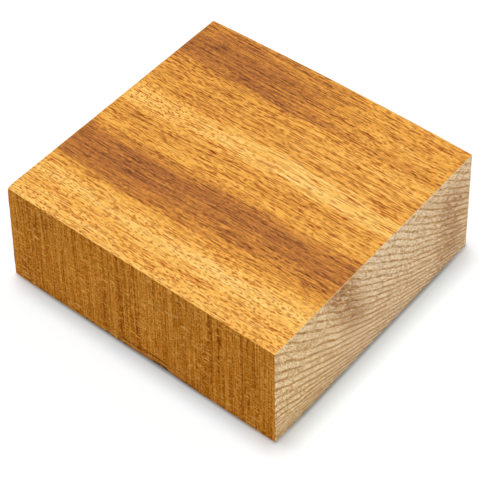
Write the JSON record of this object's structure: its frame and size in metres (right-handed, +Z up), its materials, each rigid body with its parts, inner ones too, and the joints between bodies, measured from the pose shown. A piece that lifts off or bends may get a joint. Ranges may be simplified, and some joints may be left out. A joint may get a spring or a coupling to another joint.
{
  "type": "bowl turning blank",
  "caption": "Short thick square-sawn block of open-pored hardwood, planed on top and rough on its sides, ready to be turned into a small bowl.",
  "frame": {"origin": "middle of the base, on the axis that the lathe would turn it about", "axes": "+X along the grain, +Y across the grain, +Z up through the thickness, out of the planed face"},
  "size_m": [0.1296, 0.1228, 0.0491],
  "materials": {
    "wood": "bare hardwood: planed satin top, band-sawn sides and dry end grain"
  },
  "bodies": {
    "root": {"blank": "wood"}
  },
  "joints": []
}
